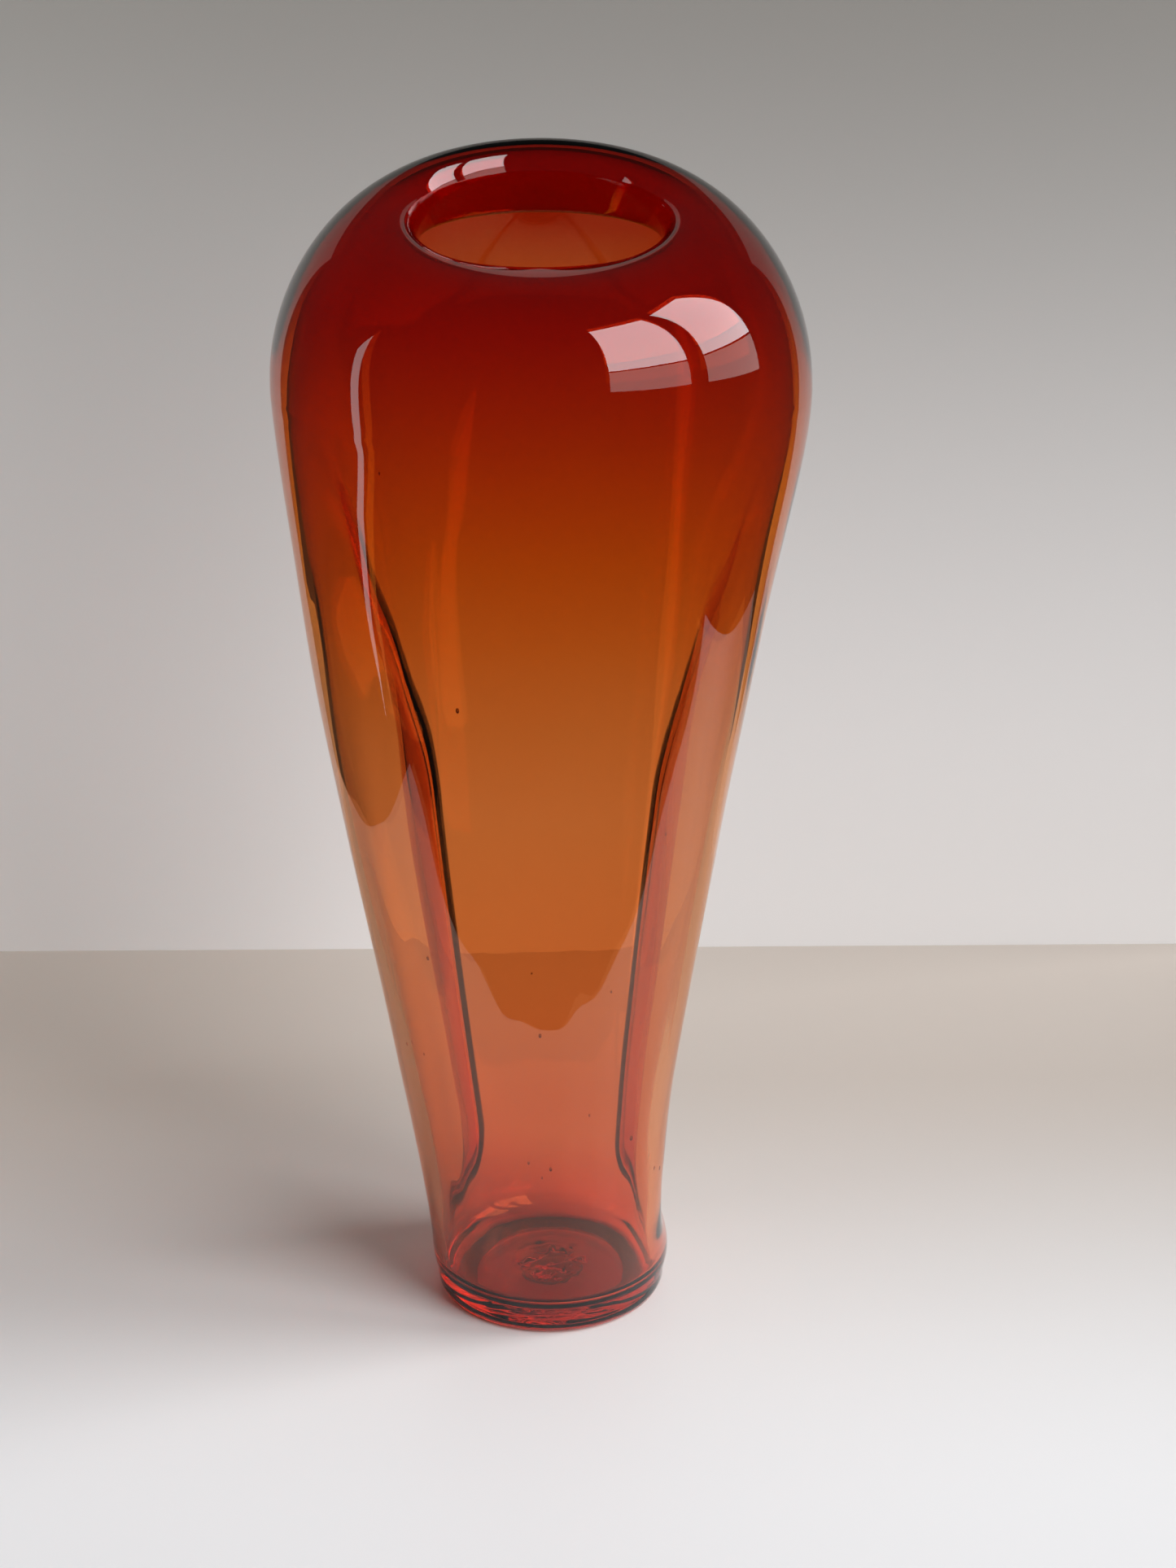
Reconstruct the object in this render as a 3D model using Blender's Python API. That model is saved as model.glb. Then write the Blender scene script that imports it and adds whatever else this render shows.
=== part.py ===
"""Hand blown art glass vase: an upturned teardrop pinched in on both sides of its long taper.

The wall is two gathers of hot glass, a coloured bubble inside a clear casing. The domed top
leans forward over the front: its crest is high at the back, where the lip is turned in and down,
and meets the level mouth at the front. A pad of glass under the bubble makes the foot, and the
stub of the pontil sits in the hollow under it. Metres, +Z up, the foot stands on z = 0.
"""
import math

import bmesh
import bpy
from mathutils import Matrix

MM = 0.001

# ---- driving dimensions, millimetres -----------------------------------------------------
SEGMENTS = 40            # straight sides round every turned piece
BUTTON_SEGMENTS = 32
CREST_Z = 341.0          # mean height of the crest of the dome
CREST_TILT = 9.4         # the crest is this much higher at the back and lower at the front
CREST_R = 39.0           # radius of the crest
MOUTH_R = 32.6           # clear radius of the mouth
MOUTH_Z = 331.6          # the edge of the mouth is level
BELLY_R = 75.5           # widest radius
BELLY_Z = 288.0
LEAN = 0.242             # the top of the dome leans forward by this much of its height
LEAN_Z = (268.0, 302.0)  # heights the lean comes in over
BACK_SHIFT = 2.2         # everything sits this far back, so that the vase is centred

CASING_T = 2.3           # clear casing
CORE_T = 2.0             # coloured bubble inside it
JOINT = 0.3              # parting between fused gathers
CASING_FLOOR_T = 1.6
CORE_FLOOR_T = 1.4
FLOOR_CORNER = 9.0       # round where the floor of a gather meets its wall
EDGE = 0.8               # fire-polished edge of the pad and casing
LIP_THINNING = 0.5       # share of the wall left at the edge of the mouth

FOOT_FLAT_R = 31.0       # outer edge of the ring that touches the table
FOOT_R = 35.0            # the foot at the parting between pad and casing
PAD_Z = 3.0              # top of the pad
KICK_R = 23.0            # hollow under the foot
KICK_Z = 1.6
BUTTON_R = 10.0          # pontil stub
BUTTON_LOW_Z = 0.3
SAG = 0.05               # allowance for the straight chords of the hollow

# Body outline above the foot: height and radius where the side is not pinched.
BODY = ((10.0, 36.2), (22.0, 38.2), (40.0, 41.5), (72.0, 46.0), (112.0, 53.0), (160.0, 62.0),
        (205.0, 69.4), (245.0, 73.2), (BELLY_Z, BELLY_R))
DOME_STEPS = 9           # rows from the belly to the crest
LIP_STEPS = 6            # rows from the crest to the edge of the mouth
BODY_ROWS = (10.0, 16.0, 23.0, 31.0, 40.0, 51.0, 63.0, 78.0, 95.0, 113.0, 132.0, 151.0, 170.0,
             189.0, 208.0, 227.0, 245.0, 261.0, 275.0)

# One pinch: bearing from the front, half angle, depth as a share of the radius, the heights
# it fades out over at the top and the heights it fades out over at the bottom.
PINCHES = (
    (math.radians(-102.0), 0.34, 0.44, (297.0, 160.0), (9.0, 52.0)),
    (math.radians(95.0), 0.46, 0.42, (287.0, 160.0), (9.0, 48.0)),
    (0.0, 0.50, 0.05, (285.0, 170.0), (12.0, 60.0)),
    (math.pi, 0.45, 0.10, (285.0, 170.0), (12.0, 60.0)),
)
FOOT_SHIFT = 1.4         # the foot stands this far to the right of the dome
FOOT_SHIFT_Z = (30.0, 85.0)


def clear_scene():
    """Remove every object the file opened with."""
    for obj in list(bpy.data.objects):
        bpy.data.objects.remove(obj, do_unlink=True)


def ease(low, high, value):
    """Smooth step from 0 at low to 1 at high; low may lie above high."""
    t = min(max((value - low) / (high - low), 0.0), 1.0)
    return t * t * (3.0 - 2.0 * t)


def body_radius(z):
    """Radius of the unpinched body at height z, by a cubic through the outline points."""
    points = BODY
    if z <= points[0][0]:
        return points[0][1]
    if z >= points[-1][0]:
        return points[-1][1]
    index = 0
    while points[index + 1][0] < z:
        index += 1
    (z0, r0), (z1, r1) = points[index], points[index + 1]
    slope0 = outline_slope(index)
    slope1 = outline_slope(index + 1)
    span = z1 - z0
    t = (z - z0) / span
    return ((2 * t ** 3 - 3 * t ** 2 + 1) * r0 + (t ** 3 - 2 * t ** 2 + t) * span * slope0
            + (-2 * t ** 3 + 3 * t ** 2) * r1 + (t ** 3 - t ** 2) * span * slope1)


def outline_slope(index):
    """Slope of the outline at one of its points; upright at the belly."""
    if index == len(BODY) - 1:
        return 0.0
    before = max(index - 1, 0)
    return (BODY[index + 1][1] - BODY[before][1]) / (BODY[index + 1][0] - BODY[before][0])


def pinch_depth(bearing, z):
    """How far the wall is pressed in toward the axis at one bearing and height."""
    share = 0.0
    for centre, half_angle, depth, top, bottom in PINCHES:
        away = (bearing - centre + math.pi) % (2.0 * math.pi) - math.pi
        fade = ease(top[0], top[1], z) * ease(bottom[0], bottom[1], z)
        share += depth * fade * math.exp(-(away / half_angle) ** 2)
    return share * body_radius(z)


def bezier(p0, p1, p2, p3, steps):
    """Points of a cubic curve after its first one."""
    found = []
    for step in range(1, steps + 1):
        t = step / steps
        u = 1.0 - t
        found.append(tuple(u ** 3 * a + 3 * u * u * t * b + 3 * u * t * t * c + t ** 3 * d
                           for a, b, c, d in zip(p0, p1, p2, p3)))
    return found


def crest_height(bearing):
    """Height of the crest of the dome at one bearing from the front."""
    return CREST_Z - CREST_TILT * math.cos(bearing)


def wall_path(bearing):
    """Outer face of the wall at one bearing in (radius, height), from the foot to the mouth."""
    path = [(body_radius(z), z) for z in BODY_ROWS]
    top = crest_height(bearing)
    rise = top - BELLY_Z
    front = (0.5 + 0.5 * math.cos(bearing)) ** 2
    belly = (BELLY_R, BELLY_Z)
    crest = (CREST_R, top)
    path.append(belly)
    path += bezier(belly, (BELLY_R, BELLY_Z + (0.45 + 0.15 * front) * rise),
                   (CREST_R + 18.0 + 6.0 * front, top - 1.0 + front), crest, DOME_STEPS)
    depth = top - MOUTH_Z
    level = 1.0 - depth / (2.0 * CREST_TILT)
    path += bezier(crest, (CREST_R - 3.0, top), (MOUTH_R + 2.5 * level, MOUTH_Z + 0.5 * depth),
                   (MOUTH_R, MOUTH_Z), LIP_STEPS)
    return path


def inset(path, depths):
    """The path moved square to itself toward the hollow, by a depth for each of its points."""
    moved = []
    last = len(path) - 1
    for i, (r, z) in enumerate(path):
        r0, z0 = path[max(i - 1, 0)]
        r1, z1 = path[min(i + 1, last)]
        dr, dz = r1 - r0, z1 - z0
        size = math.hypot(dr, dz)
        moved.append((r - dz / size * depths[i], z + dr / size * depths[i]))
    return moved


def gather_depths(thickness, joint):
    """Depth under the outer face at each point of the wall, thinner from the belly to the lip."""
    full = len(BODY_ROWS) + 1
    steps = DOME_STEPS + LIP_STEPS
    return ([thickness + joint] * full
            + [thickness * (1.0 - (1.0 - LIP_THINNING) * step / steps) + joint
               for step in range(1, steps + 1)])


def floor_path(radius, top_z, floor_z):
    """Floor of a gather, from the axis out and round the corner up to the wall."""
    straight = radius - FLOOR_CORNER
    reach = 0.55
    path = [(0.0, floor_z), (straight / 2, floor_z), (straight, floor_z)]
    path += bezier((straight, floor_z), (straight + FLOOR_CORNER * reach, floor_z),
                   (radius, top_z - (top_z - floor_z) * reach), (radius, top_z), 4)
    return path


def lean_forward(z):
    """How far the dome has leaned toward the front at height z."""
    low, high = LEAN_Z
    if z <= low:
        return 0.0
    if z <= high:
        return LEAN * (z - low) ** 2 / (2.0 * (high - low))
    return LEAN * ((high - low) / 2.0 + z - high)


def finish_mesh(name, bm):
    """Shift the foot, scale to metres and turn the faces out; return the smooth object."""
    for vert in bm.verts:
        vert.co.x += FOOT_SHIFT * (1.0 - ease(FOOT_SHIFT_Z[0], FOOT_SHIFT_Z[1], vert.co.z))
        vert.co.y += BACK_SHIFT
    bmesh.ops.transform(bm, matrix=Matrix.Scale(MM, 4), verts=bm.verts)
    bmesh.ops.recalc_face_normals(bm, faces=bm.faces)
    mesh = bpy.data.meshes.new(name)
    bm.to_mesh(mesh)
    bm.free()
    obj = bpy.data.objects.new(name, mesh)
    bpy.context.scene.collection.objects.link(obj)
    bpy.context.view_layer.objects.active = obj
    obj.select_set(True)
    bpy.ops.object.shade_smooth()
    mesh.set_sharp_from_angle(angle=math.radians(40.0))
    obj.select_set(False)
    return obj


def turn(name, path, segments):
    """Spin a profile that starts and ends on the axis into a closed solid."""
    bm = bmesh.new()
    verts = [bm.verts.new((0.0, -r, z)) for r, z in path]
    edges = [bm.edges.new((a, b)) for a, b in zip(verts, verts[1:])]
    bmesh.ops.spin(bm, geom=verts + edges, cent=(0.0, 0.0, 0.0), axis=(0.0, 0.0, 1.0),
                   angle=2.0 * math.pi, steps=segments, use_merge=True)
    bmesh.ops.remove_doubles(bm, verts=bm.verts, dist=0.001)
    return finish_mesh(name, bm)


def pressed_point(bearing, radius, z):
    """Place one point of the wall, pressed in by the pinches and leaned forward."""
    radius -= pinch_depth(bearing, z)
    return (radius * math.sin(bearing), -radius * math.cos(bearing) - lean_forward(z), z)


def blow(name, outside, inside):
    """Close a gather from its outside, axis to lip, and its inside, lip to axis.

    outside and inside give a path for a bearing. Both faces are cut along the same diagonals,
    so the facing skins of two gathers stay parallel.
    """
    bm = bmesh.new()
    columns = []
    for step in range(SEGMENTS):
        bearing = 2.0 * math.pi * step / SEGMENTS
        out_path = outside(bearing)
        path = out_path + inside(bearing)
        columns.append([bm.verts.new(pressed_point(bearing, r, z)) for r, z in path[1:-1]])
    first = bm.verts.new((0.0, 0.0, path[0][1]))
    last = bm.verts.new((0.0, 0.0, path[-1][1]))
    lip = len(out_path) - 2
    for step in range(SEGMENTS):
        here, there = columns[step], columns[(step + 1) % SEGMENTS]
        bm.faces.new((first, there[0], here[0]))
        bm.faces.new((last, here[-1], there[-1]))
        for row in range(len(here) - 1):
            a, b, c, d = here[row], there[row], there[row + 1], here[row + 1]
            if row < lip:
                bm.faces.new((a, b, c))
                bm.faces.new((a, c, d))
            else:
                bm.faces.new((a, b, d))
                bm.faces.new((b, c, d))
    return finish_mesh(name, bm)


def glass(name, color, roughness):
    """Principled glass in one flat colour."""
    material = bpy.data.materials.new(name)
    material.use_nodes = True
    shader = material.node_tree.nodes["Principled BSDF"]
    shader.inputs["Base Color"].default_value = (*color, 1.0)
    shader.inputs["Roughness"].default_value = roughness
    shader.inputs["Metallic"].default_value = 0.0
    shader.inputs["IOR"].default_value = 1.5
    shader.inputs["Transmission Weight"].default_value = 1.0
    return material


def build_casing():
    """Outer gather: from the top of the pad up the side, over the dome and down to the lip."""
    underside = PAD_Z + JOINT

    def outside(bearing):
        wall = wall_path(bearing)
        low = [(0.0, underside), (FOOT_R / 2, underside), (FOOT_R - EDGE, underside),
               (FOOT_R, underside + EDGE)]
        low += bezier(low[-1], (FOOT_R + EDGE / 2, underside + 3 * EDGE),
                      (wall[0][0] - EDGE / 4, wall[0][1] - 2 * EDGE), wall[0], 3)
        return low + wall[1:]

    def inside(bearing):
        inner = inset(wall_path(bearing), gather_depths(CASING_T, 0.0))
        bottom = floor_path(inner[0][0], inner[0][1] + 1.0, underside + CASING_FLOOR_T)
        return list(reversed(inner[1:])) + list(reversed(bottom))

    return blow("outer_casing", outside, inside)


def build_core():
    """Coloured bubble inside the casing, with its own floor and its own turned-in lip."""
    underside = PAD_Z + JOINT + CASING_FLOOR_T + JOINT

    def outside(bearing):
        outer = inset(wall_path(bearing), gather_depths(CASING_T, JOINT))
        return floor_path(outer[0][0], outer[0][1] + 1.0, underside) + outer[1:]

    def inside(bearing):
        inner = inset(wall_path(bearing), gather_depths(CASING_T + CORE_T, JOINT))
        bottom = floor_path(inner[0][0], inner[0][1] + 1.2, underside + CORE_FLOOR_T)
        return list(reversed(inner[1:])) + list(reversed(bottom))

    return blow("color_core", outside, inside)


def kick_height(radius):
    """Height of the hollow under the foot, a shallow bowl upside down."""
    return KICK_Z * (1.0 - (radius / KICK_R) ** 2)


def build_pad():
    """Pad that makes the foot: a flat ring to stand on, a round edge and a hollow underneath."""
    path = [(KICK_R * share, kick_height(KICK_R * share)) for share in (0.0, 0.45, 0.75, 1.0)]
    rim = (FOOT_R, PAD_Z - EDGE)
    path.append((FOOT_FLAT_R, 0.0))
    path += bezier((FOOT_FLAT_R, 0.0), (FOOT_FLAT_R + 2 * EDGE, 0.0), (FOOT_R, EDGE), rim, 4)
    path += [(FOOT_R - EDGE, PAD_Z), (FOOT_R / 2, PAD_Z), (0.0, PAD_Z)]
    return turn("foot_pad", path, SEGMENTS)


def build_button():
    """Stub of the pontil, melted to a flat round in the hollow of the foot."""
    soft = BUTTON_R - EDGE / 4
    path = [(0.0, BUTTON_LOW_Z), (BUTTON_R / 2, BUTTON_LOW_Z), (soft, BUTTON_LOW_Z),
            (BUTTON_R, BUTTON_LOW_Z + EDGE / 4)]
    path += [(radius, kick_height(radius) - JOINT - SAG) for radius in (soft, BUTTON_R / 2)]
    path.append((0.0, KICK_Z - JOINT - SAG))
    return turn("pontil_button", path, BUTTON_SEGMENTS)


def main():
    """Build the four gathers and give each its glass."""
    clear_scene()
    build_casing().data.materials.append(glass("clear_casing_glass", (0.93, 0.52, 0.22), 0.03))
    build_core().data.materials.append(glass("ruby_amber_glass", (0.72, 0.10, 0.02), 0.04))
    build_pad().data.materials.append(glass("foot_glass", (0.80, 0.22, 0.08), 0.03))
    build_button().data.materials.append(glass("pontil_glass", (0.86, 0.40, 0.20), 0.12))


main()
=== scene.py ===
"""Hand blown art glass vase: an upturned teardrop of ruby to amber glass on a small round foot.

The gathers of the vase are fused hot, so light meets one wall of glass: a fire-polished skin
outside, the blown chamber inside, a thick floor at the foot, and a domed top that leans forward.
The crest of the dome is high at the back, where the lip is curled in and down, and runs out
level with the mouth at the front. The stub of the pontil stays a piece of its own in the hollow
under the foot. Metres, +Z up, the foot stands on z = 0, the broad front faces -Y.
"""

import logging
import math
from dataclasses import dataclass, field
from enum import Enum

import bpy
import numpy as np
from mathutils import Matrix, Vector, noise

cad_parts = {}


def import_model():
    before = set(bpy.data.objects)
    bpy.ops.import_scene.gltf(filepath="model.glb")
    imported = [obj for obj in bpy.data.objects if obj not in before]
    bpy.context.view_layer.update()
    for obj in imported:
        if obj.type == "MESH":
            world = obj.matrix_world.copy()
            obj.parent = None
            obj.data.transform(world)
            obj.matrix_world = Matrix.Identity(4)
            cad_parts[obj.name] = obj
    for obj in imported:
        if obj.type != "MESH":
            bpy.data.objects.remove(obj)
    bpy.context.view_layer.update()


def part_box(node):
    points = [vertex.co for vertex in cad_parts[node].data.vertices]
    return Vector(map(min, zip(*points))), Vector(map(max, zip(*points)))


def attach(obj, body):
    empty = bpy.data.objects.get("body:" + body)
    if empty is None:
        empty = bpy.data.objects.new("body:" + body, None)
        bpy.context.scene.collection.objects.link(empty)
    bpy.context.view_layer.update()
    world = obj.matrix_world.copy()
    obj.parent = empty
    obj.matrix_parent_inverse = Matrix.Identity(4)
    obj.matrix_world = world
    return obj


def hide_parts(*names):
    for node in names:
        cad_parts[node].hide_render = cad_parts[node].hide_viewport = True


LOG = logging.getLogger("blown_vase")
MM = 0.001
Profile = list[tuple[float, float]]


def linear_rgba(hex_color: str) -> tuple[float, float, float, float]:
    """Turn an sRGB hex colour into linear RGBA.

    Args:
        hex_color: Six hex digits, with or without a leading hash.

    Returns:
        Red, green, blue and alpha, with alpha 1.
    """
    digits = hex_color.lstrip("#")
    encoded = [int(digits[i:i + 2], 16) / 255.0 for i in (0, 2, 4)]
    linear = [c / 12.92 if c <= 0.04045 else ((c + 0.055) / 1.055) ** 2.4 for c in encoded]
    return (linear[0], linear[1], linear[2], 1.0)


def add_node(tree: bpy.types.NodeTree, kind: str, settings: dict | None = None,
             inputs: dict | None = None) -> bpy.types.Node:
    """Add a shader node with its settings and its inputs.

    Args:
        tree: Node tree that takes the node.
        kind: Blender's type name of the node.
        settings: Attributes to set on the node.
        inputs: Socket name or index to a value, or to the output socket that feeds it.

    Returns:
        The new node.
    """
    node = tree.nodes.new(kind)
    for name, value in (settings or {}).items():
        setattr(node, name, value)
    for name, value in (inputs or {}).items():
        if isinstance(value, bpy.types.NodeSocket):
            tree.links.new(value, node.inputs[name])
        else:
            node.inputs[name].default_value = value
    return node


def ease(low: float, high: float, value: np.ndarray | float) -> np.ndarray | float:
    """Smooth step from 0 at low to 1 at high; low may lie above high."""
    t = np.clip((value - low) / (high - low), 0.0, 1.0)
    return t * t * (3.0 - 2.0 * t)


def bezier(points: tuple[tuple[float, float], ...], steps: int) -> Profile:
    """Points of a cubic curve after its first one.

    Args:
        points: The four control points.
        steps: How many points to return.

    Returns:
        The points in order, the last one on the end of the curve.
    """
    found = []
    for step in range(1, steps + 1):
        t = step / steps
        u = 1.0 - t
        weights = (u ** 3, 3.0 * u * u * t, 3.0 * u * t * t, t ** 3)
        found.append((sum(w * p[0] for w, p in zip(weights, points)),
                      sum(w * p[1] for w, p in zip(weights, points))))
    return found


def resample(path: Profile, step: float) -> Profile:
    """Space the points of a path evenly along its length.

    Args:
        path: Radius and height pairs.
        step: Wanted distance between points.

    Returns:
        A path over the same line, with both ends kept.
    """
    points = np.array(path)
    runs = np.hypot(*np.diff(points, axis=0).T)
    along = np.concatenate([[0.0], np.cumsum(runs)])
    count = max(2, int(round(along[-1] / step)) + 1)
    wanted = np.linspace(0.0, along[-1], count)
    return list(zip(np.interp(wanted, along, points[:, 0]),
                    np.interp(wanted, along, points[:, 1])))


# ---- finishes -----------------------------------------------------------------------------
class Heat(Enum):
    """How hot the glass was struck, which sets its colour."""

    RUBY_TO_AMBER = "ruby at the dome, amber down the side"
    AMBER = "amber all through"


@dataclass(frozen=True)
class FirePolishedGlass:
    """Soda-lime art glass, blown and fire-polished: mirror-smooth, with faint cords in it.

    The colour comes out of the glass when it is reheated. The dome stays longest in the heat
    and strikes to ruby; the side fades through orange to amber. The red at the foot is painted
    shade: it stands in for the dark of the thick floor over the shaded table under it.
    A thin wall shows the tint of its height, and where the eye looks along the wall the glass
    itself takes more of the green and blue, so edges and folds go deep red.
    """

    name: str
    heat: Heat = Heat.RUBY_TO_AMBER
    ior: float = 1.52                    # soda-lime glass
    roughness: float = 0.0               # fire-polished
    body_tint: str = "#ffdbb2"           # what the glass lets through in a length of 1 / density
    body_density: float = 100.0          # per metre
    cord_mm: float = 26.0                # cords are 5 mm apart; drawn wider so that they show
    cord_height: float = 0.00006
    stops: tuple[tuple[float, str], ...] = (
        # the lowest stops, redder toward 0 mm, are painted shade for the thick floor over the
        # shaded table
        (0.0, "#ea664e"), (14.0, "#f07e5e"), (34.0, "#f3aa81"), (72.0, "#f6b98c"),
        (130.0, "#f3c08c"), (180.0, "#eebc8b"), (209.0, "#e8ae6f"), (235.0, "#e69c4b"),
        (260.0, "#e48927"), (282.0, "#df7619"), (301.0, "#d45913"), (320.0, "#cb3410"),
        (346.0, "#cb2719"))

    def make(self, height_mm: float) -> bpy.types.Material:
        """Build the material for a vase of one height.

        Args:
            height_mm: Height of the vase, which the colour stops are measured on.

        Returns:
            The new material.
        """
        material = bpy.data.materials.new(self.name)
        material.use_nodes = True
        tree = material.node_tree
        tree.nodes.clear()
        place = add_node(tree, "ShaderNodeTexCoord")
        color = self._struck_color(tree, place.outputs["Object"], height_mm)
        cords = self._cords(tree, place.outputs["Object"])
        glass = add_node(tree, "ShaderNodeBsdfPrincipled", None, {
            "Base Color": color, "Roughness": self.roughness, "IOR": self.ior,
            "Transmission Weight": 1.0, "Normal": cords})
        inside = add_node(tree, "ShaderNodeVolumeAbsorption", None, {
            "Color": linear_rgba(self.body_tint), "Density": self.body_density})
        add_node(tree, "ShaderNodeOutputMaterial", None, {
            "Surface": glass.outputs["BSDF"], "Volume": inside.outputs["Volume"]})
        return material

    def _struck_color(self, tree: bpy.types.NodeTree, place: bpy.types.NodeSocket,
                      height_mm: float) -> bpy.types.NodeSocket:
        """Colour by height, its borders drifting a little as the heat did.

        Args:
            tree: Tree of the material.
            place: Object coordinates.
            height_mm: Height of the vase.

        Returns:
            Colour socket.
        """
        split = add_node(tree, "ShaderNodeSeparateXYZ", None, {"Vector": place})
        drift = add_node(tree, "ShaderNodeTexNoise", None,
                         {"Vector": place, "Scale": 14.0, "Detail": 2.0, "Roughness": 0.5})
        moved = add_node(tree, "ShaderNodeMath", {"operation": "MULTIPLY_ADD"},
                         {0: drift.outputs["Fac"], 1: 16.0 * MM, 2: split.outputs["Z"]})
        share = add_node(tree, "ShaderNodeMath", {"operation": "MULTIPLY_ADD"},
                         {0: moved.outputs["Value"], 1: 1.0 / (height_mm * MM),
                          2: -8.0 / height_mm})
        ramp = add_node(tree, "ShaderNodeValToRGB", None, {"Fac": share.outputs["Value"]})
        stops = self.stops if self.heat is Heat.RUBY_TO_AMBER else self.stops[2:4]
        elements = ramp.color_ramp.elements
        while len(elements) < len(stops):
            elements.new(0.5)
        for element, (height, hex_color) in zip(elements, stops):
            element.position = min(height / height_mm, 1.0)
            element.color = linear_rgba(hex_color)
        return ramp.outputs["Color"]

    def _cords(self, tree: bpy.types.NodeTree,
               place: bpy.types.NodeSocket) -> bpy.types.NodeSocket:
        """Faint cords drawn out along the blow, seen only where light grazes or bends.

        Args:
            tree: Tree of the material.
            place: Object coordinates.

        Returns:
            Normal socket.
        """
        drawn = add_node(tree, "ShaderNodeMapping", None,
                         {"Vector": place, "Scale": (1.0, 1.0, 0.16)})
        cord = add_node(tree, "ShaderNodeTexNoise", None, {
            "Vector": drawn.outputs["Vector"], "Scale": 1.0 / (self.cord_mm * MM),
            "Detail": 1.5, "Roughness": 0.4})
        bump = add_node(tree, "ShaderNodeBump", None, {
            "Height": cord.outputs["Fac"], "Strength": 1.0, "Distance": self.cord_height})
        return bump.outputs["Normal"]


@dataclass(frozen=True)
class TableWornGlass:
    """The ring of the foot that slides on tables: the same glass scuffed to a satin grey."""

    name: str = "foot_ring_worn_satin"
    tint: str = "#e8907a"
    scuff_mm: float = 0.9                # scuffs of 0.05 to 0.2 mm, drawn coarser to show

    def make(self) -> bpy.types.Material:
        """Build the material; the scuffs are finer and coarser patches of roughness."""
        material = bpy.data.materials.new(self.name)
        material.use_nodes = True
        tree = material.node_tree
        tree.nodes.clear()
        place = add_node(tree, "ShaderNodeTexCoord")
        scuff = add_node(tree, "ShaderNodeTexNoise", None, {
            "Vector": place.outputs["Object"], "Scale": 1.0 / (self.scuff_mm * MM),
            "Detail": 3.0})
        rough = add_node(tree, "ShaderNodeMapRange", None, {
            "Value": scuff.outputs["Fac"], "From Min": 0.35, "From Max": 0.65,
            "To Min": 0.12, "To Max": 0.42})
        color = add_node(tree, "ShaderNodeMix", {"data_type": "RGBA"}, {
            "Factor": scuff.outputs["Fac"], "A": linear_rgba(self.tint),
            "B": linear_rgba("#f0b4a2")})
        bump = add_node(tree, "ShaderNodeBump", None, {
            "Height": scuff.outputs["Fac"], "Strength": 0.6, "Distance": 0.00003})
        glass = add_node(tree, "ShaderNodeBsdfPrincipled", None, {
            "Base Color": color.outputs["Result"], "Roughness": rough.outputs["Result"],
            "IOR": 1.52, "Transmission Weight": 1.0, "Normal": bump.outputs["Normal"]})
        add_node(tree, "ShaderNodeOutputMaterial", None, {"Surface": glass.outputs["BSDF"]})
        return material


@dataclass(frozen=True)
class StagePaint:
    """Matt paint of the studio with the faint mottle a roller leaves, and painted shade: its tone
    runs from the near colour to the far one along one axis.
    """

    name: str
    near: str                            # where the axis below starts
    far: str                             # where it ends
    axis: str
    reach: tuple[float, float]
    roughness: float
    one_sided: bool = False

    def make(self) -> bpy.types.Material:
        """Build the paint; a one-sided one can't be seen from behind."""
        material = bpy.data.materials.new(self.name)
        material.use_nodes = True
        tree = material.node_tree
        tree.nodes.clear()
        place = add_node(tree, "ShaderNodeTexCoord")
        mottle = add_node(tree, "ShaderNodeTexNoise", None, {
            "Vector": place.outputs["Object"], "Scale": 3.0, "Detail": 4.0})
        split = add_node(tree, "ShaderNodeSeparateXYZ", None, {"Vector": place.outputs["Object"]})
        # painted shade: the tone runs from the near colour to the darker far one over the reach
        # along the axis
        along = add_node(tree, "ShaderNodeMapRange", {"interpolation_type": "SMOOTHSTEP"}, {
            "Value": split.outputs[self.axis], "From Min": self.reach[0],
            "From Max": self.reach[1]})
        share = add_node(tree, "ShaderNodeMath", {"operation": "MULTIPLY_ADD"}, {
            0: mottle.outputs["Fac"], 1: 0.06, 2: along.outputs["Result"]})
        color = add_node(tree, "ShaderNodeMix", {"data_type": "RGBA"}, {
            "Factor": share.outputs["Value"], "A": linear_rgba(self.near),
            "B": linear_rgba(self.far)})
        paint = add_node(tree, "ShaderNodeBsdfPrincipled", None, {
            "Base Color": color.outputs["Result"], "Roughness": self.roughness})
        surface = paint.outputs["BSDF"]
        if self.one_sided:
            side = add_node(tree, "ShaderNodeNewGeometry")
            clear = add_node(tree, "ShaderNodeBsdfTransparent")
            mix = add_node(tree, "ShaderNodeMixShader", None, {
                0: side.outputs["Backfacing"], 1: surface, 2: clear.outputs["BSDF"]})
            surface = mix.outputs["Shader"]
        add_node(tree, "ShaderNodeOutputMaterial", None, {"Surface": surface})
        return material


# ---- the form every gather was pressed to ---------------------------------------------------
@dataclass(frozen=True)
class Pinch:
    """One squeeze of the jacks on the hot wall."""

    bearing: float                       # degrees from the front, toward the right
    half_angle: float                    # radians
    depth: float                         # share of the radius
    top: tuple[float, float]             # heights it fades out over, mm
    bottom: tuple[float, float]

    def press(self, bearing: np.ndarray, z: np.ndarray) -> np.ndarray:
        """Share of the radius pressed in at each bearing and height."""
        away = (bearing - math.radians(self.bearing) + math.pi) % (2.0 * math.pi) - math.pi
        fade = ease(self.top[0], self.top[1], z) * ease(self.bottom[0], self.bottom[1], z)
        return self.depth * fade * np.exp(-(away / self.half_angle) ** 2)


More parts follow.
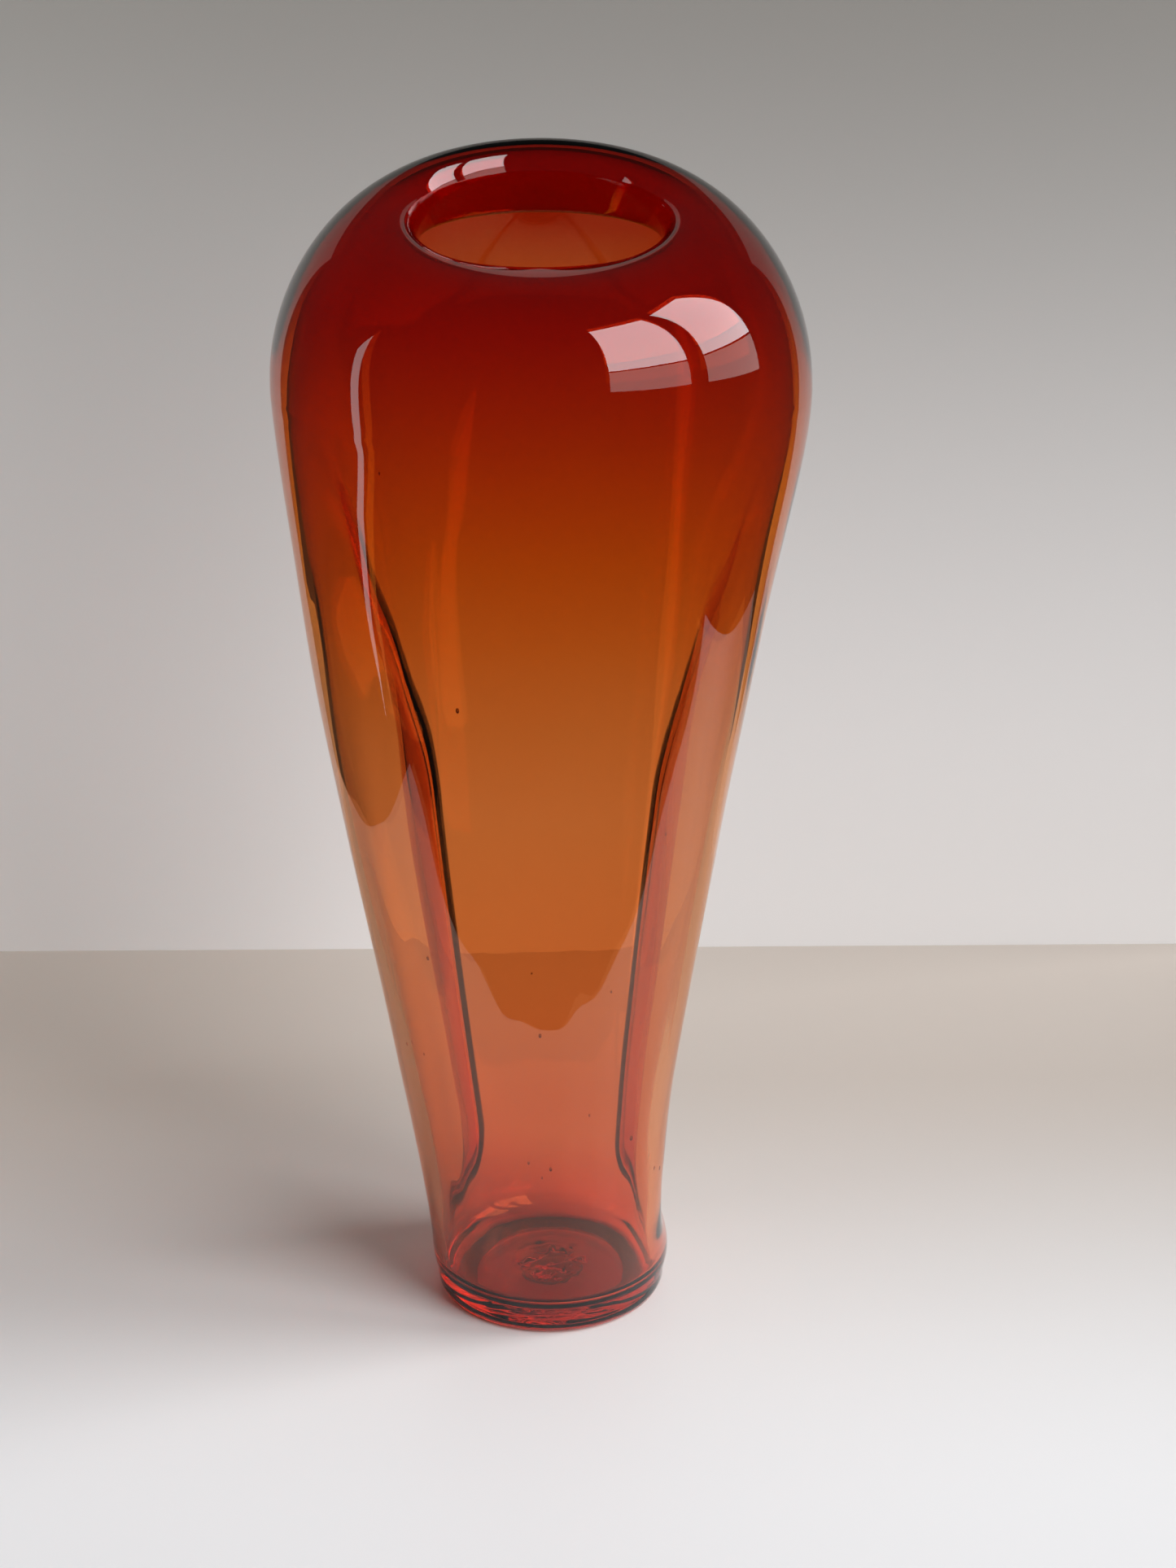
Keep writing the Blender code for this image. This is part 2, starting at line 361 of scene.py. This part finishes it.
@dataclass
class BlownForm:
    """Outline and pinches of the vase, in millimetres."""

    height: float
    belly_radius: float
    crest_radius: float = 39.0
    crest_tilt: float = 9.4              # crest higher at the back, lower at the front, by this
    mouth_radius: float = 32.6
    mouth_z: float = 331.6               # the edge of the mouth is level
    belly_z: float = 288.0
    softening: float = 5.5               # how far surface tension rounded the crest over
    crest_lift: float = 0.6              # what that rounding takes off the crest again
    lean: float = 0.242                  # the dome leans forward by this much of its height
    lean_z: tuple[float, float] = (268.0, 302.0)
    back_shift: float = 2.2              # the axis sits this far back of the middle
    side: tuple[tuple[float, float], ...] = (
        (10.0, 36.2), (22.0, 38.2), (40.0, 41.5), (72.0, 46.0), (112.0, 53.0), (160.0, 62.0),
        (205.0, 69.4), (245.0, 73.2))
    pinches: tuple[Pinch, ...] = (
        Pinch(-102.0, 0.34, 0.44, (297.0, 160.0), (9.0, 52.0)),
        Pinch(95.0, 0.46, 0.42, (287.0, 160.0), (9.0, 48.0)),
        Pinch(0.0, 0.50, 0.05, (285.0, 170.0), (12.0, 60.0)),
        Pinch(180.0, 0.45, 0.10, (285.0, 170.0), (12.0, 60.0)))
    foot_shift: float = 1.4              # the foot stands this far to the right of the dome
    foot_shift_z: tuple[float, float] = (30.0, 85.0)

    def radius(self, z: np.ndarray) -> np.ndarray:
        """Radius of the unpinched side at each height.

        Args:
            z: Heights.

        Returns:
            Radii, by a cubic through the outline points that is upright at the belly.
        """
        points = np.array(self.side + ((self.belly_z, self.belly_radius),))
        heights, radii = points[:, 0], points[:, 1]
        slopes = np.empty(len(points))
        slopes[0] = (radii[1] - radii[0]) / (heights[1] - heights[0])
        slopes[1:-1] = (radii[2:] - radii[:-2]) / (heights[2:] - heights[:-2])
        slopes[-1] = 0.0
        z = np.clip(z, heights[0], heights[-1])
        i = np.clip(np.searchsorted(heights, z) - 1, 0, len(points) - 2)
        span = heights[i + 1] - heights[i]
        t = (z - heights[i]) / span
        return ((2 * t ** 3 - 3 * t ** 2 + 1) * radii[i]
                + (t ** 3 - 2 * t ** 2 + t) * span * slopes[i]
                + (3 * t ** 2 - 2 * t ** 3) * radii[i + 1]
                + (t ** 3 - t ** 2) * span * slopes[i + 1])

    def pressed(self, bearing: np.ndarray, z: np.ndarray) -> np.ndarray:
        """How far the wall is moved toward the axis at each bearing and height."""
        share = sum(pinch.press(bearing, z) for pinch in self.pinches)
        return share * self.radius(z)

    def wall(self, bearing: float) -> Profile:
        """Outer face of the unpinched wall at one bearing, from above the foot to the mouth.

        Args:
            bearing: Angle from the front.

        Returns:
            Radius and height pairs, as many at every bearing.
        """
        heights = np.arange(self.side[0][0], self.belly_z, 2.0)
        body = list(zip(self.radius(heights), heights))
        back = 0.5 - 0.5 * math.cos(bearing)
        top = self.height - 2.0 * self.crest_tilt * (1.0 - back) + self.crest_lift * back
        rise = top - self.belly_z
        front = (0.5 + 0.5 * math.cos(bearing)) ** 2
        belly = (self.belly_radius, self.belly_z)
        crest = (self.crest_radius + 3.0 * back, top)
        dome = bezier((belly, (belly[0], belly[1] + (0.45 + 0.15 * front) * rise),
                       (crest[0] + 18.0 + 6.0 * front, top - 1.0 + front), crest), 120)
        drop = top - self.mouth_z
        level = 1.0 - back
        curl = bezier((crest, (crest[0] - 3.0 - 6.0 * back, top),
                       (self.mouth_radius + 2.5 * level, self.mouth_z + 0.6 * drop),
                       (self.mouth_radius, self.mouth_z)), 60)
        return body + self._softened([belly] + dome + curl)

    def _softened(self, path: Profile) -> Profile:
        """Round a path over, as surface tension does, with its two ends held.

        Args:
            path: Radius and height pairs, unevenly spaced.

        Returns:
            64 evenly spaced pairs.
        """
        step, half, rows = 0.4, 32, 64
        fine = np.array(resample(path, step))
        reach = np.arange(-half, half + 1) * step
        weight = np.exp(-(reach / self.softening) ** 2)
        padded = np.concatenate([2.0 * fine[0] - fine[half:0:-1], fine,
                                 2.0 * fine[-1] - fine[-2:-half - 2:-1]])
        soft = np.stack([np.convolve(padded[:, axis], weight / weight.sum(), "valid")
                         for axis in (0, 1)], axis=-1)
        wanted = np.linspace(0, len(soft) - 1, rows)
        index = np.arange(len(soft))
        radii, heights = (np.interp(wanted, index, soft[:, axis]) for axis in (0, 1))
        return list(zip(radii, heights))

    def leaned(self, z: np.ndarray | float) -> np.ndarray | float:
        """How far the wall has moved toward the front at each height."""
        low, high = self.lean_z
        into = np.clip(z - low, 0.0, high - low)
        return self.lean * (into ** 2 / (2.0 * (high - low)) + np.maximum(z - high, 0.0))

    def place(self, radius: np.ndarray, z: np.ndarray, face: "WallFace") -> np.ndarray:
        """Turn rows of points round the axis, press the pinches in and lean the dome.

        Args:
            radius: Radii, rows by segments.
            z: Heights, rows by segments.
            face: Which face of the wall it is, which sets the waves on it.

        Returns:
            Points as rows by segments by 3, in millimetres.
        """
        rows, segments = radius.shape
        turn = np.linspace(0.0, 2.0 * math.pi, segments, endpoint=False)[None, :]
        bearing = np.repeat(turn, rows, axis=0)
        share = ease(2.0, 22.0, radius)
        pushed = radius - share * (self.pressed(bearing, z) - face.wave(bearing, z))
        x = pushed * np.sin(bearing) + self.foot_shift * (
            1.0 - ease(self.foot_shift_z[0], self.foot_shift_z[1], z))
        y = self.back_shift - self.leaned(z) - pushed * np.cos(bearing)
        return np.stack([x, y, z], axis=-1)

    def turned(self, path: Profile, segments: int, face: "WallFace") -> np.ndarray:
        """Place a path that is the same at every bearing.

        Args:
            path: Radius and height pairs.
            segments: Points round each ring.
            face: Which face of the wall it is.

        Returns:
            Points as rows by segments by 3, in millimetres.
        """
        radius, z = (np.repeat(np.array(axis)[:, None], segments, axis=1) for axis in zip(*path))
        return self.place(radius, z, face)


class WallFace(Enum):
    """The two faces of the wall; each has the waves its making left in it."""

    SKIN = "outer face, drawn smooth by the paddle"
    CHAMBER = "inner face, shaped by breath alone"
    UNDERSIDE = "bottom of the foot"

    def wave(self, bearing: np.ndarray, z: np.ndarray) -> np.ndarray:
        """Height of the hand-made waves on the face, in millimetres.

        Args:
            bearing: Angles from the front.
            z: Heights.

        Returns:
            How far each point stands out from the plain form.
        """
        side = ease(24.0, 70.0, z) * ease(292.0, 215.0, z)
        drift = 0.9 * np.sin(z / 61.0) + 0.5 * np.sin(z / 27.0 + 1.3)
        flutes = (0.50 * np.sin(11.0 * bearing + drift)
                  + 0.32 * np.sin(19.0 * bearing - 1.4 * drift + 0.7)
                  + 0.18 * np.sin(31.0 * bearing + 2.1 * drift + 2.9))
        if self is WallFace.SKIN:
            return 0.16 * side * flutes
        if self is WallFace.CHAMBER:
            slow = np.sin(3.0 * bearing + z / 34.0) + np.sin(2.0 * bearing - z / 49.0 + 0.8)
            return 0.22 * side * flutes + 0.16 * ease(8.0, 40.0, z) * ease(338.0, 300.0, z) * slow
        return np.zeros_like(z)


# ---- meshes ---------------------------------------------------------------------------------
@dataclass
class Shell:
    """Rings of points that become one closed mesh, with seed bubbles shut inside it."""

    rings: np.ndarray                    # rows by segments by 3, millimetres, axis to axis
    axis_ends: tuple[Vector, Vector]     # points on the axis that close the first and last row
    bubbles: list[tuple[Vector, float, float]] = field(default_factory=list)

    def build(self, name: str) -> bpy.types.Object:
        """Join the rings into a closed mesh with smooth shading.

        Args:
            name: Object name.

        Returns:
            The new object, in metres.
        """
        rows, segments = self.rings.shape[:2]
        points = [tuple(p) for p in self.rings.reshape(-1, 3)]
        first, last = len(points), len(points) + 1
        points += [tuple(end) for end in self.axis_ends]
        faces = []
        for row in range(rows - 1):
            for j in range(segments):
                k = (j + 1) % segments
                faces.append((row * segments + j, row * segments + k,
                              (row + 1) * segments + k, (row + 1) * segments + j))
        end = (rows - 1) * segments
        for j in range(segments):
            k = (j + 1) % segments
            faces.append((first, k, j))
            faces.append((last, end + j, end + k))
        for centre, size, stretch in self.bubbles:
            self._shut_in(points, faces, centre, size, stretch)
        mesh = bpy.data.meshes.new(name)
        mesh.from_pydata([(x * MM, y * MM, z * MM) for x, y, z in points], [], faces)
        mesh.validate()
        mesh.polygons.foreach_set("use_smooth", [True] * len(mesh.polygons))
        mesh.update()
        obj = bpy.data.objects.new(name, mesh)
        bpy.context.scene.collection.objects.link(obj)
        return obj

    @staticmethod
    def _shut_in(points: list, faces: list, centre: Vector, size: float,
                 stretch: float) -> None:
        """Add one seed bubble, its faces turned to the air inside it.

        Args:
            points: Points of the mesh so far.
            faces: Faces of the mesh so far.
            centre: Middle of the bubble.
            size: Radius.
            stretch: How much taller than wide the draw has pulled it.
        """
        start, rows, segments = len(points), 6, 10
        for row in range(1, rows):
            polar = math.pi * row / rows
            for j in range(segments):
                turn = 2.0 * math.pi * j / segments
                points.append((centre.x + size * math.sin(polar) * math.cos(turn),
                               centre.y + size * math.sin(polar) * math.sin(turn),
                               centre.z + size * stretch * math.cos(polar)))
        top, low = len(points), len(points) + 1
        points.append((centre.x, centre.y, centre.z + size * stretch))
        points.append((centre.x, centre.y, centre.z - size * stretch))
        for row in range(rows - 2):
            for j in range(segments):
                k = (j + 1) % segments
                faces.append((start + row * segments + j, start + row * segments + k,
                              start + (row + 1) * segments + k, start + (row + 1) * segments + j))
        end = start + (rows - 2) * segments
        for j in range(segments):
            k = (j + 1) % segments
            faces.append((top, start + k, start + j))
            faces.append((low, end + j, end + k))


@dataclass
class VaseWall:
    """The fused wall: skin, curled lip, blown chamber, floor and foot, as one run of glass."""

    form: BlownForm
    segments: int = 186
    wall_t: float = 4.3                  # wall at the belly and down the side
    lip_t: float = 2.4                   # thinner where the lip was opened
    floor_z: float = 6.4                 # thick floor under the chamber
    floor_corner: float = 9.0
    floor_rise: float = 1.7              # middle of the floor, pushed up by the pontil
    foot_flat: tuple[float, float] = (23.0, 31.0)
    kick: float = 1.6                    # hollow under the foot
    hollow_rows: int = 46
    scar_rows: tuple[int, int] = (30, 34)    # rows the scar may roughen: hollow, floor
    heel_radius: float = 35.0
    seed_count: int = 26

    def build(self) -> bpy.types.Object:
        """Build the wall and give it its finishes."""
        turns = np.linspace(0.0, 2.0 * math.pi, self.segments, endpoint=False)
        walls = np.array([self.form.wall(turn) for turn in turns]).transpose(1, 0, 2)
        chambers = self._chambers(walls)
        skin = self.form.place(walls[:, :, 0], walls[:, :, 1], WallFace.SKIN)
        chamber = self._even_wall(walls, chambers)
        foot = self._underside() + resample(self._heel(tuple(walls[0, 0])), 1.9)[1:]
        floor = self._floor(tuple(chambers[0, 0]))
        rings = np.concatenate([
            self.form.turned(foot, self.segments, WallFace.SKIN),
            skin[1:],
            self._lips(skin, chamber),
            chamber[::-1],
            self.form.turned(list(reversed(floor))[1:], self.segments, WallFace.UNDERSIDE)])
        rings = self._scar_relief(rings)
        shift, back = self.form.foot_shift, self.form.back_shift
        ends = (Vector((shift, back, self.kick)),
                Vector((shift, back, self.floor_z + self.floor_rise)))
        obj = Shell(rings, ends, self._seeds()).build("vase_wall")
        self._dress(obj)
        return obj

    def _underside(self) -> Profile:
        """Bottom of the foot from near the axis out to the heel."""
        inner, outer = self.foot_flat
        shares = [i / self.hollow_rows for i in range(1, self.hollow_rows)]
        hollow = [(inner * share, self.kick * (1.0 - share ** 2)) for share in shares]
        flat = [(inner + (outer - inner) * i / 8.0, 0.0) for i in range(9)]
        return hollow + flat

    def _heel(self, side: tuple[float, float]) -> Profile:
        """Round of the foot from the standing ring up to the start of the side."""
        outer = self.foot_flat[1]
        low = [(outer, 0.0)] + bezier(((outer, 0.0), (outer + 2.6, 0.0),
                                       (self.heel_radius, 1.1), (self.heel_radius, 3.2)), 12)
        return low + bezier((low[-1], (self.heel_radius, 5.4), (side[0] - 0.7, 7.0), side), 8)

    def _chambers(self, walls: np.ndarray) -> np.ndarray:
        """Face of the chamber: the outer face moved square to itself into the glass.

        Args:
            walls: Outer face, rows by segments by radius and height.

        Returns:
            The inner face in the same layout, from the floor corner up to the lip.
        """
        along = np.gradient(walls, axis=0)
        along /= np.linalg.norm(along, axis=2)[:, :, None]
        over = ease(len(walls) - 64.0, len(walls) - 1.0, np.arange(len(walls), dtype=float))
        depth = self.wall_t + (self.lip_t - self.wall_t) * over
        square = np.stack([-along[:, :, 1], along[:, :, 0]], axis=-1)
        moved = walls + square * depth[:, None, None]
        return moved[2:]

    def _even_wall(self, walls: np.ndarray, chambers: np.ndarray) -> np.ndarray:
        """Place the chamber so that the wall keeps its thickness in the folds of the pinches.

        Args:
            walls: Outer face, rows by segments by radius and height.
            chambers: Inner face in the same layout, without the two lowest rows.

        Returns:
            Points of the inner face, rows by segments by 3.
        """
        plain = self.form.place(chambers[:, :, 0], chambers[:, :, 1], WallFace.CHAMBER)
        outer = self.form.place(walls[:, :, 0], walls[:, :, 1], WallFace.UNDERSIDE)
        round_it = np.roll(outer, -1, axis=1) - np.roll(outer, 1, axis=1)
        square = np.cross(round_it, np.gradient(outer, axis=0))
        square /= np.linalg.norm(square, axis=2)[:, :, None]
        depth = np.linalg.norm(chambers - walls[2:], axis=2)
        turn = np.linspace(0.0, 2.0 * math.pi, self.segments, endpoint=False)[None, :]
        wave = WallFace.CHAMBER.wave(np.repeat(turn, len(chambers), axis=0), walls[2:, :, 1])
        even = outer[2:] - square[2:] * (depth - wave)[:, :, None]
        share = ease(22.0, 60.0, walls[2:, :, 1])[:, :, None]
        return plain + (even - plain) * share

    @staticmethod
    def _lips(skin: np.ndarray, chamber: np.ndarray) -> np.ndarray:
        """Fire-rounded edge of the mouth, from the outer face over to the chamber.

        Args:
            skin: Points of the outer face, rows by segments by 3.
            chamber: Points of the inner face.

        Returns:
            Rows of the half round, in the same layout.
        """
        start, end = skin[-1], chamber[-1]
        middle, arm = (start + end) / 2.0, (start - end) / 2.0
        out = skin[-1] - skin[-2]
        out *= (np.linalg.norm(arm, axis=1) / np.linalg.norm(out, axis=1))[:, None]
        turns = [math.pi * i / 8.0 for i in range(1, 8)]
        return np.array([middle + arm * math.cos(turn) + out * math.sin(turn) for turn in turns])

    def _floor(self, start: tuple[float, float]) -> Profile:
        """Chamber floor from near the axis, over its rise, round the corner to the wall.

        Args:
            start: Lowest point of the chamber wall.

        Returns:
            Radius and height pairs.
        """
        straight = start[0] - self.floor_corner
        flat = [(straight * i / 36.0, self.floor_z + self.floor_rise
                 * math.exp(-(straight * i / 36.0 / 11.0) ** 2)) for i in range(1, 37)]
        reach = 0.55
        corner = bezier((flat[-1], (straight + self.floor_corner * reach, flat[-1][1]),
                         (start[0], start[1] - (start[1] - flat[-1][1]) * reach), start), 12)
        return flat + corner

    def _scar_relief(self, rings: np.ndarray) -> np.ndarray:
        """Roughen the middle of the foot, where the pontil stuck and broke off.

        Args:
            rings: All rings of the wall.

        Returns:
            The rings with the relief on them.
        """
        shift, back = self.form.foot_shift, self.form.back_shift
        under = range(self.scar_rows[0])
        floor = range(len(rings) - self.scar_rows[1], len(rings))
        for rows, near, far, height, grain in ((under, 8.0, 11.5, 0.55, 0.42),
                                               (floor, 9.0, 15.0, 0.90, 0.21)):
            for row in rows:
                for point in rings[row]:
                    share = 1.0 - ease(near, far, math.hypot(point[0] - shift, point[1] - back))
                    spot = Vector((point[0] * grain, point[1] * grain, 3.7 + 10.0 * grain))
                    point[2] += share * height * noise.noise(spot)
        return rings

    def _seeds(self) -> list[tuple[Vector, float, float]]:
        """Seed bubbles in the middle of the wall, more of them toward the foot."""
        chance = np.random.default_rng(7)
        seeds = []
        for _ in range(self.seed_count):
            z = 16.0 + 270.0 * chance.random() ** 1.8
            bearing = 2.0 * math.pi * chance.random()
            size = 0.22 + 0.30 * chance.random() ** 2
            level = np.array([z])
            radius = (self.form.radius(level) - self.form.pressed(np.array([bearing]), level))[0]
            radius -= self.wall_t * 0.5
            shift = self.form.foot_shift * (1.0 - ease(*self.form.foot_shift_z, z))
            back = self.form.back_shift - self.form.leaned(z)
            seeds.append((Vector((radius * math.sin(bearing) + shift,
                                  back - radius * math.cos(bearing), z)), size, 1.8))
        return seeds

    def _dress(self, obj: bpy.types.Object) -> None:
        """Glass all over, and the scuffed ring where the foot meets the table."""
        glass = FirePolishedGlass("blown_glass_ruby_to_amber")
        obj.data.materials.append(glass.make(self.form.height))
        obj.data.materials.append(TableWornGlass().make())
        inner, outer = self.foot_flat
        for polygon in obj.data.polygons:
            centre = polygon.center
            reach = math.hypot(centre.x / MM - self.form.foot_shift,
                               centre.y / MM - self.form.back_shift)
            if centre.z < 0.05 * MM and inner < reach < outer:
                polygon.material_index = 1


@dataclass
class PontilScar:
    """Stub of the pontil: broken off, then melted down to a ragged round under the foot."""

    form: BlownForm
    low: Vector
    high: Vector
    segments: int = 72
    gap: float = 0.12

    def build(self) -> bpy.types.Object:
        """Build the stub and give it its glass."""
        radius = (self.high.x - self.low.x) / 2.0 / MM - 0.25
        centre = (self.low + self.high) / 2.0 / MM
        base, top = self.low.z / MM, self.high.z / MM
        under = [(radius * i / 16.0, base) for i in range(1, 16)]
        edge = [(radius * (0.965 + 0.035 * math.sin(t)), base + 0.28 * (1 - math.cos(t)) / 2)
                for t in (0.6, 1.2, 1.9, 2.6)]
        over = [(radius * i / 16.0, top - 0.35 * (i / 16.0) ** 2 - self.gap)
                for i in range(15, 0, -1)]
        rings = np.array([[self._point(r, z, 2.0 * math.pi * j / self.segments, base, top)
                           for j in range(self.segments)] for r, z in under + edge + over])
        rings[:, :, 0] += centre.x
        rings[:, :, 1] += centre.y
        ends = (Vector((centre.x, centre.y, base)), Vector((centre.x, centre.y, top - self.gap)))
        obj = Shell(rings, ends).build("pontil_scar")
        finish = FirePolishedGlass("pontil_glass_broken_and_melted", Heat.AMBER,
                                   roughness=0.05, cord_mm=2.4, cord_height=0.0002)
        obj.data.materials.append(finish.make(self.form.height))
        return obj

    @staticmethod
    def _point(radius: float, z: float, turn: float, base: float, top: float) -> tuple:
        """One point of the stub, ragged at its edge and uneven where it broke.

        Args:
            radius: Plain radius.
            z: Plain height.
            turn: Angle round the stub.
            base: Lowest height the stub may reach.
            top: Highest height the stub may reach.

        Returns:
            X, y and z in millimetres, about the axis of the stub.
        """
        spot = Vector((math.cos(turn) * 2.2, math.sin(turn) * 2.2, 1.0))
        jag = 1.0 - 0.09 * abs(noise.noise(spot))
        x, y = radius * jag * math.sin(turn), -radius * jag * math.cos(turn)
        lump = 0.30 * noise.noise(Vector((x * 0.5, y * 0.5, 5.0)))
        return (x, y, min(max(z + lump * 0.5, base), top - 0.02))


# ---- studio ---------------------------------------------------------------------------------
@dataclass
class Studio:
    """Pale table against a plain wall, tall soft windows to the right, a dark room behind."""

    table_front: float = -0.152
    wall_y: float = 0.235
    table_ends: tuple[float, float] = (-0.28, 0.50)
    wall_ends: tuple[float, float] = (-0.27, 0.29)
    wall_height: float = 0.46

    def build(self) -> None:
        """Build the table, the wall, the lights and the room's own dim light."""
        table = self._sheet("table_top", (self.table_ends[0], self.table_front, 0.0),
                            (self.table_ends[1] - self.table_ends[0], 0.0, 0.0),
                            (0.0, self.wall_y - self.table_front, 0.0))
        # painted shade: the table darkens from its front toward the wall at its back
        table.data.materials.append(StagePaint("white_table_painted_shade", "#f0f1f0", "#b8afa5", "Y",
                                                (-0.13, 0.16), 0.45).make())
        wall = self._sheet("back_wall", (self.wall_ends[0], self.wall_y, 0.0),
                           (self.wall_ends[1] - self.wall_ends[0], 0.0, 0.0),
                           (0.0, 0.0, self.wall_height))
        # painted shade: the wall darkens from low down to its top
        wall.data.materials.append(StagePaint("grey_wall_painted_shade", "#d8d7d5", "#8a8882", "Z",
                                               (0.06, 0.42), 0.9, True).make())
        self._lights()
        world = bpy.data.worlds.new("room")
        bpy.context.scene.world = world
        world.use_nodes = True
        world.node_tree.nodes["Background"].inputs["Color"].default_value = linear_rgba("#353433")
        world.node_tree.nodes["Background"].inputs["Strength"].default_value = 1.0

    @staticmethod
    def _sheet(name: str, corner: tuple, across: tuple, up: tuple) -> bpy.types.Object:
        """One flat sheet of the stage.

        Args:
            name: Object name.
            corner: First corner.
            across: First side.
            up: Second side.

        Returns:
            The new object.
        """
        start, first, second = Vector(corner), Vector(across), Vector(up)
        mesh = bpy.data.meshes.new(name)
        mesh.from_pydata([start, start + first, start + first + second, start + second], [],
                         [(0, 1, 2, 3)])
        obj = bpy.data.objects.new(name, mesh)
        bpy.context.scene.collection.objects.link(obj)
        return obj

    def _lights(self) -> None:
        """A wide window at the right: two panes with a dark post between, dimmer low down."""
        panes = (("near", (2.60, -2.42), 2.35), ("far", (3.45, -0.05), 1.85))
        for name, (x, y), width in panes:
            self._pane("window_sky_" + name, (x, y, 3.20), (width, 4.6), 7.5, "#fbfbff")
            self._pane("window_street_" + name, (x, y, 0.36), (width, 0.95), 2.2, "#fff1ea")
        self._pane("wall_wash", (-0.62, -0.10, 0.22), (0.50, 0.45), 2.4, "#ffffff", (-0.62, 1.0))

    @staticmethod
    def _pane(name: str, place: tuple, size: tuple, glow: float, hex_color: str,
              toward: tuple[float, float] = (0.0, 0.0)) -> None:
        """One upright rectangular soft light.

        Args:
            name: Light name.
            place: Its middle, metres.
            size: Width and height, metres.
            glow: How bright its face is.
            hex_color: Colour of its light.
            toward: Point of the table it faces.
        """
        light = bpy.data.lights.new(name, "AREA")
        light.shape = "RECTANGLE"
        light.size, light.size_y = size
        light.energy = glow * math.pi * size[0] * size[1]
        light.color = linear_rgba(hex_color)[:3]
        obj = bpy.data.objects.new(name, light)
        obj.location = place
        aim = Vector((toward[0] - place[0], toward[1] - place[1], 0.0))
        obj.rotation_euler = aim.to_track_quat("-Z", "Y").to_euler()
        bpy.context.scene.collection.objects.link(obj)


@dataclass
class Viewpoint:
    """Standing eye at arm's length, looking a little down on the vase."""

    back: float = 0.8776
    height: float = 0.5414
    look_down: float = 23.08
    turn_right: float = 0.85
    lens: float = 75.0

    def build(self) -> None:
        """Make the camera and hand it to the scene."""
        data = bpy.data.cameras.new("eye")
        data.sensor_width = 36.0
        data.lens = self.lens
        data.clip_start = 0.01
        camera = bpy.data.objects.new("eye", data)
        camera.location = (0.0, -self.back, self.height)
        camera.rotation_euler = (math.radians(90.0 - self.look_down), 0.0,
                                 -math.radians(self.turn_right))
        bpy.context.scene.collection.objects.link(camera)
        bpy.context.scene.camera = camera


def main() -> None:
    """Load the frame, build each piece on it and report it."""
    logging.basicConfig(level=logging.INFO, format="%(message)s")
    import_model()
    low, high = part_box("outer_casing")
    form = BlownForm(height=high[2] / MM, belly_radius=(high[0] - low[0]) / 2.0 / MM - 0.1)
    wall = VaseWall(form).build()
    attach(wall, "root")
    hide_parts("outer_casing", "color_core", "foot_pad")
    LOG.info("vase_wall: %d faces", len(wall.data.polygons))
    scar = PontilScar(form, *(Vector(corner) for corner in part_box("pontil_button"))).build()
    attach(scar, "root")
    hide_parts("pontil_button")
    LOG.info("pontil_scar: %d faces", len(scar.data.polygons))
    Studio().build()
    Viewpoint().build()
    bpy.context.scene.view_settings.view_transform = "Standard"


if __name__ == "__main__":
    main()
